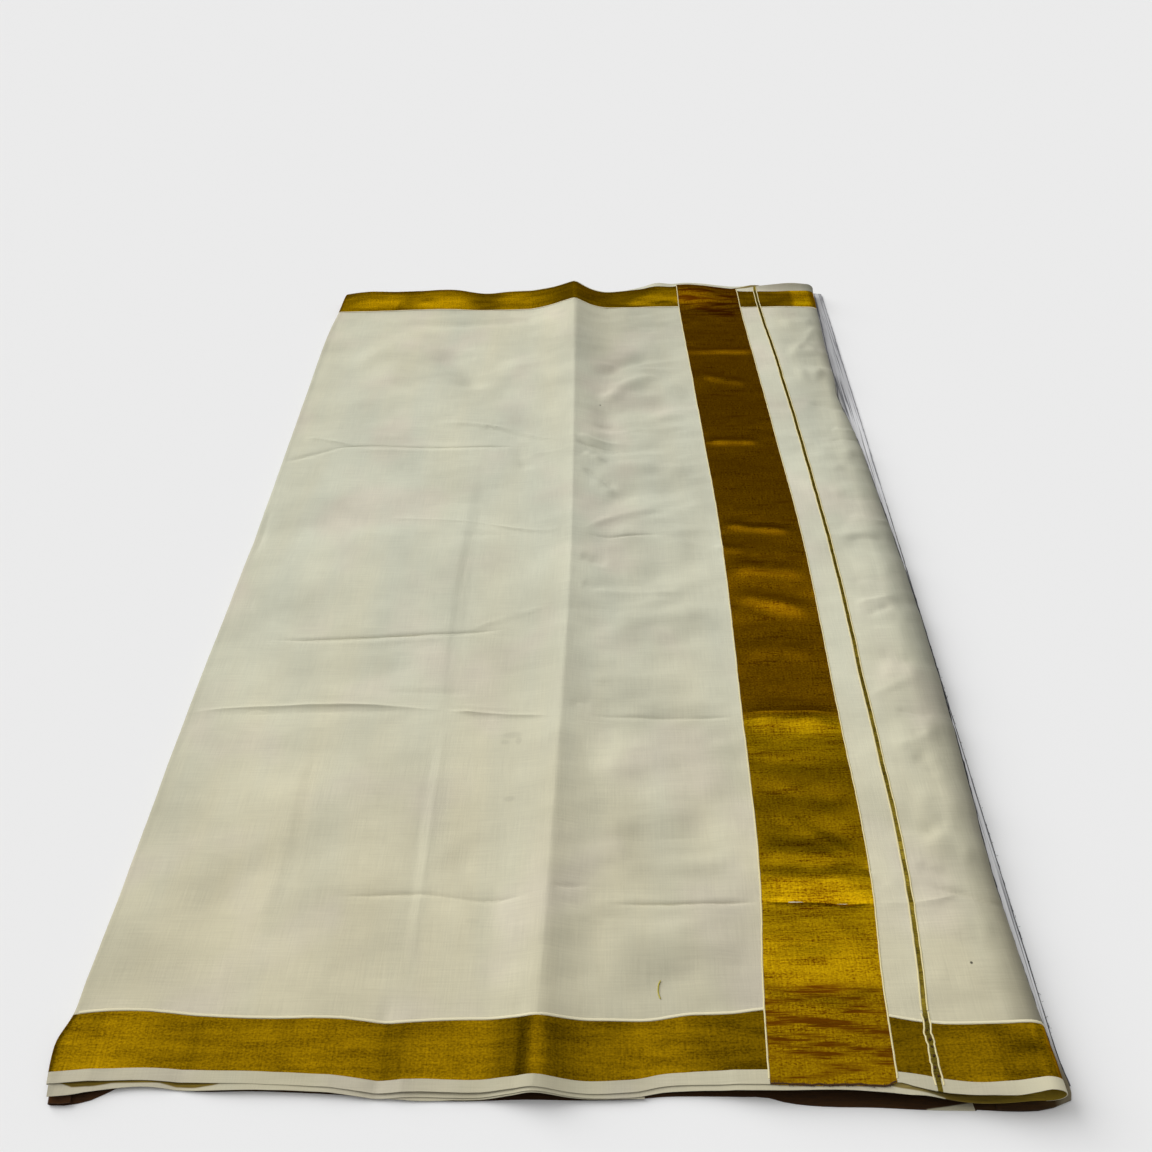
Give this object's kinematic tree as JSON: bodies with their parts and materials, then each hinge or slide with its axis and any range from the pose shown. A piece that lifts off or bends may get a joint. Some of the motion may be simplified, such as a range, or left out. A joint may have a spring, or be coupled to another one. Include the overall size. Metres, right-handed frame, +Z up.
{
  "type": "folded saree",
  "caption": "Cream cotton saree with gold borders, a gold pallu band and a thin gold line, folded flat with its middle crease standing as a ridge.",
  "frame": {"origin": "centre of the bounding box's underside, on the surface that the folded saree lies on", "axes": "+X right across the fold, along the saree's length; +Y away along its woven width, from the near selvedge to the far one; +Z up"},
  "size_m": [0.6917, 1.177, 0.0288],
  "materials": {
    "cream_cotton": "matt unbleached cotton, plain weave",
    "gold_zari": "woven gold metal thread, satin, with the weave's grain"
  },
  "bodies": {
    "root": {"near_selvedge_main": "cream_cotton", "near_selvedge_gap": "cream_cotton", "near_selvedge_turn": "cream_cotton", "near_border_main": "gold_zari", "near_border_gap": "gold_zari", "near_border_turn": "gold_zari", "field_main": "cream_cotton", "field_gap": "cream_cotton", "field_turn": "cream_cotton", "far_border_main": "gold_zari", "far_border_gap": "gold_zari", "far_border_turn": "gold_zari", "far_selvedge_main": "cream_cotton", "far_selvedge_gap": "cream_cotton", "far_selvedge_turn": "cream_cotton", "pallu_band": "gold_zari", "gold_line": "gold_zari", "second_stretch": "cream_cotton", "third_stretch": "cream_cotton", "bottom_stretch": "cream_cotton", "inner_folds": "cream_cotton"}
  },
  "joints": []
}
